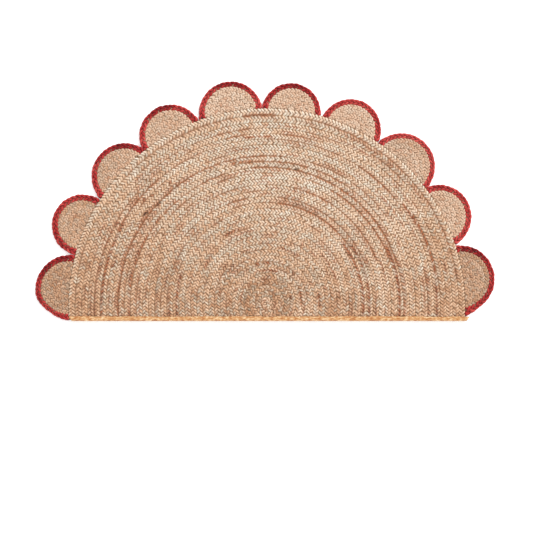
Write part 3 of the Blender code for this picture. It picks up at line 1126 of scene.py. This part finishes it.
    def broad(self, tone: np.ndarray, warmth: np.ndarray, rings: np.ndarray,
              turns: np.ndarray) -> tuple[np.ndarray, np.ndarray]:
        """Tone and warmth over broad areas.

        Args:
            tone: the lobes' own tone.
            warmth: the lobes' own warmth.
            rings: rows out from the start.
            turns: degrees round it.

        Returns:
            Both with what each row adds, paler and cooler by the sine of the turn outside the first
            rows, a little paler to the right, and with the shades.
        """
        rows, tones, warmths = (np.array(column) for column in zip(*self.row_colours))
        spread = np.interp(rings, self.far_rows, (0.0, 1.0))
        far = spread * (np.sin(np.radians(turns)) - self.far_level)
        tone = tone + np.interp(rings, rows, tones)
        tone = tone + self.far_tone * far + self.right_tone * spread * np.cos(np.radians(turns))
        warmth = warmth + np.interp(rings, rows, warmths) - self.far_cool * far
        for shade in self.shades:
            here = shade.share(rings, turns)
            tone = tone + shade.paler * here
            warmth = warmth + shade.warmer * here
        return tone, warmth

    def flecks(self, rings: np.ndarray, turns: np.ndarray, chance: np.ndarray) -> np.ndarray:
        """How brown the short flecks make each place.

        Args:
            rings: rows out from the start.
            turns: degrees round it.
            chance: each lobe's draw from 0 to 1.

        Returns:
            The fleck strength where the draw is over 1 less the share of flecks there, and else 0.
        """
        share = np.full(len(rings), self.fleck_share)
        for first, last, start, end, more in self.flecked:
            inside = (rings > first) & (rings < last) & (turns > start) & (turns < end)
            share[inside] = share[inside] + more
        return self.fleck_strength * picked(chance, share)

    def lines(self, rings: np.ndarray, turns: np.ndarray) -> list[np.ndarray]:
        """Random values that change slowly along a row and at once across it.

        Args:
            rings: rows out from the start.
            turns: degrees round it.

        Returns:
            Three values of spread 1 for each point. A point belongs to the line nearest to twice
            its rows out; along that line, draws at even lengths are joined by the curve of ease().
        """
        band = np.clip(np.rint(2.0 * rings).astype(int), 0, 2 * self.rows)
        place = np.radians(turns + 90.0) * (band / 2.0 + 0.5) * self.row_width / self.line_length
        low = place.astype(int)
        share = ease(place - low)
        rng = np.random.default_rng(self.seed + 1)
        knots = rng.normal(0.0, 1.0, (3, 2 * self.rows + 1, low.max() + 2))
        return [knot[band, low] * (1.0 - share) + knot[band, low + 1] * share for knot in knots]

    def build(self, yarn: bpy.types.Material, ground: bpy.types.Material) -> bpy.types.Object:
        rng = np.random.default_rng(self.seed)
        # The ground sheet is painted shade for the gaps between the strands.
        base = dress(self.ground().make("panel_shade_ground", ground), "centre_panel")
        braid = Braid(self.row_width, self.braid_height, self.period, self.dye)
        runs = Coil(self.row_width, self.rows, level_from=0.0).runs(self)
        for first, last in zip(self.bands, self.bands[1:]):
            held = [run for run in runs if first <= np.median(run.radius) / self.row_width < last]
            surface = self.colour(braid.surface(held, self, rng))
            name = f"panel_rows_{first + 1:02d}_{last:02d}"
            dress(surface.make(name, yarn), "centre_panel")
            LOG.info("%s has %d triangles", name, surface.triangles)
        self.flat_area()
        return base

    def flat_area(self) -> float:
        """Area above the cut: the circular segment R squared (h - sin(2h) / 2), h its half angle."""
        half = math.pi / 2.0 - math.asin((self.cut + self.coil_rise) / self.radius)
        return self.radius**2 * (half - math.sin(2.0 * half) / 2.0)


@dataclass(frozen=True)
class Scallop:
    """One scallop's measures, in millimetres and degrees.

    Flare is a share of the radius. The swells are those of the red braid's ends. A red mark is a
    stretch of the red braid, from one direction to another seen from the scallop's middle, with what
    it adds to the tone.
    """

    bearing: float
    centre_out: float
    radius: float
    coil_out: float
    red_width: float
    flare: float = 0.0
    flare_from: float = 0.0
    paleness: float = 0.0
    red_paleness: float = 0.0
    near_swell: tuple[float, float] = (0.17, 16 * MM)
    far_swell: tuple[float, float] = (0.17, 16 * MM)
    red_marks: tuple[tuple[float, float, float], ...] = ()


SCALLOPS = (
    Scallop(175.0, -1.2, 67.4, 9.0, 12.2, flare=-0.13, flare_from=10, paleness=-0.2, far_swell=(0.45, 45 * MM),
            red_marks=((85, 150, -0.22), (172, 192, 0.06))),
    Scallop(156.1, 6.1, 59.9, 1.8, 11.8, paleness=-0.08),
    Scallop(137.4, -11.0, 64.8, 9.0, 11.3, paleness=-0.03,
            red_marks=((70, 115, -0.2), (160, 168, 0.1), (195, 212, 0.1))),
    Scallop(119.3, -4.9, 61.5, 5.1, 11.5, paleness=0.05, red_marks=((85, 135, -0.28), (158, 197, 0.14))),
    Scallop(100.5, -2.9, 61.9, 4.9, 10.6, paleness=0.13,
            red_marks=((55, 120, -0.22), (10, 40, 0.12), (145, 190, 0.12))),
    Scallop(82.8, -5.1, 57.5, 3.1, 10.3, paleness=0.12, red_marks=((50, 130, -0.17), (165, 180, 0.06))),
    Scallop(64.7, -4.3, 59.2, 2.3, 10.4, paleness=0.14, red_paleness=0.07,
            red_marks=((-30, -10, 0.07), (134, 144, 0.05))),
    Scallop(46.1, -7.2, 64.9, 7.2, 9.9, paleness=0.06, red_paleness=0.17, red_marks=((40, 95, 0.08),)),
    Scallop(27.5, -6.7, 62.3, 4.7, 11.4, paleness=0.08, red_paleness=0.12, red_marks=((-25, 0, 0.06),)),
    Scallop(8.1, -3.5, 65.4, 9.3, 11.8, flare=0.14, flare_from=60, paleness=-0.15,
            near_swell=(0.3, 25 * MM), red_marks=((45, 95, -0.24),)),
)


@dataclass(frozen=True)
class ScallopPlan:
    """The plan of one scallop. Its ring angles start from the outward direction."""

    measures: Scallop
    panel_radius: float
    coil_rise: float
    low: float
    high: float
    middle: float = 3.6 * MM
    flare_span: float = 50.0
    squeeze: float = 0.8 * MM
    tuck: float = 1.2 * MM

    @property
    def radius(self) -> float:
        """Radius of the outline, to the outside of the red braid."""
        return self.measures.radius * MM

    @property
    def bearing(self) -> float:
        """Direction from the outline's centre."""
        return math.radians(self.measures.bearing)

    @property
    def touching(self) -> float:
        """Radius r of the ring that only touches the tuck's end: r = out + drift (1 - r / R) + tuck."""
        drift = self.measures.coil_out * MM
        return (self.measures.centre_out * MM + drift + self.tuck) / (1.0 + drift / self.radius)

    def centre(self, share: np.ndarray) -> np.ndarray:
        """Distance of a ring's centre from the panel's: it drifts out towards the coil's start."""
        return self.panel_radius + MM * (self.measures.centre_out + self.measures.coil_out * (1.0 - share))

    def place(self, radius: np.ndarray, angle: np.ndarray) -> tuple[np.ndarray, np.ndarray]:
        """The ring's point, flared beside the straight edge, tucked under the panel and off the neighbours.

        With the share f = r / R and the flare's ease e, the ring's radius is r (1 + flare f e). The
        point is held outside the tuck under the panel's edge and between the two valleys, then
        turned to the scallop's bearing.
        """
        measures = self.measures
        share = radius / self.radius
        side = math.copysign(1.0, measures.bearing - 90.0)
        turned = np.degrees(side * np.arctan2(np.sin(angle), np.cos(angle)))
        flare = measures.flare * share * ease((turned - measures.flare_from) / self.flare_span)
        x = self.centre(share) + radius * (1.0 + flare) * np.cos(angle)
        y = radius * (1.0 + flare) * np.sin(angle)
        out = soft_floor(np.hypot(x, y), self.panel_radius - self.tuck, self.squeeze)
        around = np.arctan2(y, x)
        zone = self.squeeze / self.panel_radius
        around = soft_floor(around, self.low, zone)
        around = -soft_floor(-around, -self.high, zone)
        around = around + self.bearing
        return out * np.cos(around), out * np.sin(around) - self.coil_rise

    def shows(self, radius: np.ndarray, angle: np.ndarray) -> np.ndarray:
        """Whether the centre line lies outside the panel's edge."""
        x = self.centre(radius / self.radius) + radius * np.cos(angle)
        return np.hypot(x, radius * np.sin(angle)) > self.panel_radius

    def level(self, x: np.ndarray, y: np.ndarray, up: np.ndarray) -> np.ndarray:
        """Heights are kept as they are above the scallop's middle, and off the floor."""
        return soft_floor(self.middle + up, 0.0, 0.4 * MM)


@dataclass(frozen=True)
class ScallopedRim:
    """The ten scallops, each a small coil of braid with a row of red braid round it."""

    panel: Panel
    measures: tuple[Scallop, ...] = SCALLOPS
    rows: int = 5
    height_share: float = 0.655
    period: float = 18.0 * MM
    strand_half: float = 0.138
    red_period: float = 27.0 * MM
    red_height: float = 7.0 * MM
    ground_steps: int = 28
    ground_low: float = 0.8 * MM
    ground_high: float = 1.8 * MM
    fleck_share: float = 0.05
    fleck_strength: float = 0.5
    mark_fade: float = 16.0
    edging_samples: int = 1441
    jute_dye: Dye = Dye(tone=0.582, lobe_tone=0.042, row_tone=0.04, warmth=0.6, lobe_warmth=0.25)
    red_dye: Dye = Dye(tone=0.6, lobe_tone=0.07, slow_tone=0.03, slow_length=40 * MM)
    seed: int = 400

    def crossing(self, scallop: Scallop) -> float:
        """Angle, seen from the panel's centre, between a scallop's bearing and its outline's end."""
        edge = self.panel.radius
        out = edge + scallop.centre_out * MM
        radius = scallop.radius * MM
        return math.acos((edge**2 + out**2 - radius**2) / (2.0 * edge * out))

    def valley(self, left: Scallop, right: Scallop) -> float:
        """Bearing at which two neighbouring scallops meet."""
        left_end = math.radians(left.bearing) - self.crossing(left)
        return (left_end + math.radians(right.bearing) + self.crossing(right)) / 2.0

    def plan(self, index: int) -> ScallopPlan:
        """The plan of one scallop, between the valleys on both its sides."""
        scallop = self.measures[index]
        bearing = math.radians(scallop.bearing)
        low, high = -math.pi / 2.0, math.pi / 2.0
        if index > 0:
            high = self.valley(self.measures[index - 1], scallop) - bearing
        if index < len(self.measures) - 1:
            low = self.valley(scallop, self.measures[index + 1]) - bearing
        return ScallopPlan(scallop, self.panel.radius, self.panel.coil_rise, low, high)

    def ground(self, plan: ScallopPlan, row_width: float, reach: float) -> Surface:
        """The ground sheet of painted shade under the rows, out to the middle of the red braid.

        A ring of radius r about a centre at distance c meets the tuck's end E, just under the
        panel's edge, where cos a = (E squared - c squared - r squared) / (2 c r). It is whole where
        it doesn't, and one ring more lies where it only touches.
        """
        radius = np.append(np.linspace(0.0, reach, 2 * self.rows + 3), plan.touching)
        radius = np.unique(np.clip(radius, 0.0, reach))[:, None]
        centre = plan.centre(radius / plan.radius)
        edge = self.panel.radius - plan.tuck
        cosine = (edge**2 - centre**2 - radius**2) / (2.0 * centre * np.maximum(radius, WELD))
        half = np.arccos(np.clip(cosine, -1.0, 1.0))
        angle = np.linspace(-1.0, 1.0, self.ground_steps + 1)[None, :] * half
        x, y = plan.place(radius * np.ones_like(angle), angle)
        depth = rib(radius / row_width, self.ground_low, self.ground_high) * np.ones_like(angle)
        return slab(np.stack((x, y), axis=-1), depth, plan.middle)

    def build_one(self, index: int, yarn: bpy.types.Material, red: bpy.types.Material,
                  ground: bpy.types.Material) -> None:
        plan = self.plan(index)
        scallop = self.measures[index]
        number = f"{index + 1:02d}"
        rng = np.random.default_rng(self.seed + index)
        red_width = scallop.red_width * MM
        row_width = (plan.radius - red_width) / self.rows
        braid = self.coil_braid(scallop, row_width)
        coil = Coil(row_width, self.rows, level_from=-math.pi / 2.0)
        rows = self.marked(braid.surface(coil.runs(plan), plan, rng), scallop, ())
        rows = rows.make(f"scallop_rows_{number}", yarn)
        dress(rows, f"scallop_{number}")
        edging = self.edging_braid(scallop)
        middle_line = self.edging_run(plan, plan.radius - red_width / 2.0)
        red_row = self.marked(edging.surface([middle_line], plan, rng), scallop, scallop.red_marks)
        red_row = red_row.make(f"red_edging_{number}", red)
        dress(red_row, f"red_braid_{number}")
        # The ground sheet is painted shade for the gaps between the strands.
        base = self.ground(plan, row_width, plan.radius - red_width / 2.0).make(f"scallop_shade_ground_{number}", ground)
        dress(base, f"scallop_{number}")
        self.declare(base, plan)

    def coil_braid(self, scallop: Scallop, row_width: float) -> Braid:
        """The jute braid of one scallop."""
        dye = replace(self.jute_dye, tone=self.jute_dye.tone + scallop.paleness)
        return Braid(row_width, row_width * self.height_share, self.period, dye, strand_half=self.strand_half,
                     crest_square=0.0)

    def edging_braid(self, scallop: Scallop) -> Braid:
        """The red braid of one scallop, its ends swollen inwards."""
        dye = replace(self.red_dye, tone=self.red_dye.tone + scallop.red_paleness)
        # Its middle crease is painted shade where the strands cross.
        return Braid(scallop.red_width * MM, self.red_height, self.red_period, dye, reach_across=0.37,
                     turn_square=0.03, strand_half=0.112, middle_crease_shade=0.5, near_swell=scallop.near_swell,
                     far_swell=scallop.far_swell, swell_inward=0.15)

    def marked(self, surface: Surface, scallop: Scallop, marks: tuple[tuple[float, float, float], ...]) -> Surface:
        """Darker or paler stretches of a braid round a scallop.

        Args:
            surface: the braid, with the ring and turn of each point.
            scallop: whose braid it is.
            marks: the stretches.

        Returns:
            The same braid. Each stretch rises and fades over the mark fade, in degrees, at its ends.
        """
        surface.masks.pop("ring")
        chance = surface.masks.pop("chance")
        surface.masks["brown"] = self.fleck_strength * picked(chance, self.fleck_share)
        away = surface.masks.pop("turn") + scallop.bearing
        tone = surface.masks["tone"]
        for first, last, change in marks:
            off = np.abs((away - (first + last) / 2.0 + 180.0) % 360.0 - 180.0) - (last - first) / 2.0
            tone = tone + change * (1.0 - ease((off + self.mark_fade / 2.0) / self.mark_fade))
        surface.masks["tone"] = tone
        return surface

    def edging_run(self, plan: ScallopPlan, radius: float) -> Run:
        """The centre line of the red braid, from the panel's edge round to it again."""
        angle = np.linspace(-math.pi, math.pi, self.edging_samples)
        rings = np.full_like(angle, radius)
        shown = plan.shows(rings, angle)
        angle, rings = angle[shown], rings[shown]
        return Run((angle - angle[0]) * radius, angle, rings, False)

    def declare(self, base: bpy.types.Object, plan: ScallopPlan) -> None:
        """Turns the plan points of a scallop's ground to the scallop's bearing, and does nothing more with them."""
        points = np.empty(len(base.data.vertices) * 3, np.float32)
        base.data.vertices.foreach_get("co", points)
        plane = points.reshape(-1, 3)[:, :2] @ np.array([
            [math.cos(plan.bearing), -math.sin(plan.bearing)],
            [math.sin(plan.bearing), math.cos(plan.bearing)],
        ])

    def build(self, yarn: bpy.types.Material, red: bpy.types.Material, ground: bpy.types.Material) -> None:
        """Makes all scallops, numbered from the left end of the straight edge."""
        for index in range(len(self.measures)):
            self.build_one(index, yarn, red, ground)


@dataclass(frozen=True)
class Studio:
    """The pale floor, the soft light and the camera straight above the mat."""

    view_middle: tuple[float, float] = (6.5 * MM, 63.6 * MM)
    view_width: float = 1056.5 * MM
    lens: float = 85.0
    sensor: float = 36.0
    mat_top: float = 7.5 * MM
    floor_size: float = 30.0
    floor_drop: float = 0.2 * MM
    floor_colour: Colour = (0.93, 0.93, 0.93)
    floor_glow: float = 0.28
    sky_strength: float = 0.92
    sun_strength: float = 2.7
    sun_spread_degrees: float = 14.0
    sun_tilt_degrees: tuple[float, float] = (-33.0, 39.0)

    def make_floor(self) -> None:
        """A large plain floor just under the mat, lit a little from below like a photographer's table."""
        half = self.floor_size / 2.0
        corners = np.array([(-half, -half), (half, -half), (half, half), (-half, half)])
        points = np.column_stack((corners, np.full(4, -self.floor_drop)))
        material, graph, shader = new_material("Pale Floor")
        graph.feed(shader, {
            "Base Color": (*self.floor_colour, 1.0),
            "Roughness": 0.9,
            "Specular IOR Level": 0.1,
            "Emission Color": (1.0, 1.0, 1.0, 1.0),
            "Emission Strength": self.floor_glow,
        })
        floor = Surface(points, [np.array([[0, 1, 2, 3]])]).make("floor", material)

    def make_light(self) -> None:
        """An even white sky and one broad sun from the upper right."""
        world = bpy.data.worlds.new("soft sky")
        world.use_nodes = True
        background = world.node_tree.nodes["Background"]
        background.inputs["Color"].default_value = (1.0, 1.0, 1.0, 1.0)
        background.inputs["Strength"].default_value = self.sky_strength
        bpy.context.scene.world = world
        lamp = bpy.data.lights.new("sun", "SUN")
        lamp.energy = self.sun_strength
        lamp.angle = math.radians(self.sun_spread_degrees)
        sun = new_object("sun", lamp)
        sun.rotation_euler = (*(math.radians(angle) for angle in self.sun_tilt_degrees), 0.0)

    def make_camera(self) -> None:
        """A camera above the middle of the view, as far up as its lens needs for the view's width."""
        data = bpy.data.cameras.new("camera")
        data.lens = self.lens
        data.sensor_width = self.sensor
        data.clip_end = 100.0
        camera = new_object("camera", data)
        rise = self.view_width * self.lens / self.sensor
        camera.location = (*self.view_middle, self.mat_top + rise)
        bpy.context.scene.camera = camera

    def build(self) -> None:
        """Makes the floor, the light and the camera, with plain colours in the picture."""
        self.make_floor()
        self.make_light()
        self.make_camera()
        bpy.context.scene.view_settings.view_transform = "Standard"


# Each yarn's crease colour, and its crease depth where given, set the painted shade in its creases.
PANEL_JUTE = YarnFinish(
    name="Panel Jute",
    warm=(
        (0.0, (0.177, 0.077, 0.033)),
        (0.22, (0.372, 0.176, 0.084)),
        (0.42, (0.558, 0.33, 0.191)),
        (0.62, (0.699, 0.484, 0.326)),
        (1.0, (0.85, 0.724, 0.577)),
    ),
    cool=(
        (0.0, (0.133, 0.091, 0.06)),
        (0.25, (0.319, 0.249, 0.172)),
        (0.5, (0.549, 0.448, 0.335)),
        (0.75, (0.726, 0.633, 0.502)),
        (1.0, (0.841, 0.787, 0.679)),
    ),
    brown=(
        (0.0, (0.035, 0.012, 0.008)),
        (0.25, (0.14, 0.035, 0.012)),
        (0.5, (0.29, 0.082, 0.026)),
        (1.0, (0.50, 0.20, 0.08)),
    ),
    crease_shade_colour=(0.235, 0.097, 0.042),
)
SCALLOP_JUTE = YarnFinish(
    name="Scallop Jute",
    warm=(
        (0.0, (0.157, 0.062, 0.027)),
        (0.22, (0.329, 0.148, 0.069)),
        (0.42, (0.486, 0.272, 0.152)),
        (0.62, (0.612, 0.389, 0.259)),
        (1.0, (0.745, 0.583, 0.441)),
    ),
    cool=(
        (0.0, (0.118, 0.07, 0.045)),
        (0.25, (0.282, 0.187, 0.122)),
        (0.5, (0.486, 0.341, 0.236)),
        (0.75, (0.643, 0.481, 0.357)),
        (1.0, (0.745, 0.621, 0.502)),
    ),
    brown=PANEL_JUTE.brown,
    crease_shade_colour=(0.26, 0.145, 0.085),
    crease_shade_depth=0.5,
    ply_weight=0.08,
    streak_weight=0.26,
    bump_height=0.2 * MM,
)
RED_YARN = YarnFinish(
    name="Red Yarn",
    warm=(
        (0.0, (0.096, 0.005, 0.008)),
        (0.3, (0.235, 0.012, 0.013)),
        (0.55, (0.396, 0.024, 0.022)),
        (1.0, (0.663, 0.101, 0.085)),
    ),
    cool=(
        (0.0, (0.086, 0.004, 0.008)),
        (0.3, (0.214, 0.011, 0.013)),
        (0.55, (0.364, 0.022, 0.022)),
        (1.0, (0.621, 0.088, 0.078)),
    ),
    brown=((0.0, (0.05, 0.003, 0.004)), (1.0, (0.2, 0.02, 0.02))),
    crease_shade_colour=(0.04, 0.002, 0.003),
    specular=0.18,
    sheen=0.0,
)
# Dark ground sheets under the braids: painted shade for the gaps between the strands.
PANEL_SHADE_GROUND = ShadeGroundFinish("Painted Shade Ground", dark=(0.12, 0.06, 0.03), light=(0.38, 0.22, 0.125))
SCALLOP_SHADE_GROUND = ShadeGroundFinish("Painted Scallop Shade Ground", dark=(0.15, 0.085, 0.05), light=(0.40, 0.25, 0.16))
GOLDEN_TAPE = TapeFinish(
    name="Golden Tape",
    ramp=(
        (0.0, (0.374, 0.138, 0.041)),
        (0.3, (0.49, 0.23, 0.086)),
        (0.65, (0.579, 0.331, 0.149)),
        (1.0, (0.712, 0.497, 0.288)),
    ),
)


def main() -> None:
    """Builds the mat's sub-assemblies in order, then the studio."""
    logging.basicConfig(level=logging.INFO, format="%(message)s")
    groups = YarnGroups()
    panel_yarn = PANEL_JUTE.material(groups)
    scallop_yarn = SCALLOP_JUTE.material(groups)
    red_yarn = RED_YARN.material(groups)
    panel = Panel()
    panel.build(panel_yarn, PANEL_SHADE_GROUND.material())
    ScallopedRim(panel).build(scallop_yarn, red_yarn, SCALLOP_SHADE_GROUND.material())
    Tape().build(GOLDEN_TAPE)
    Studio().build()


if __name__ == "__main__":
    main()
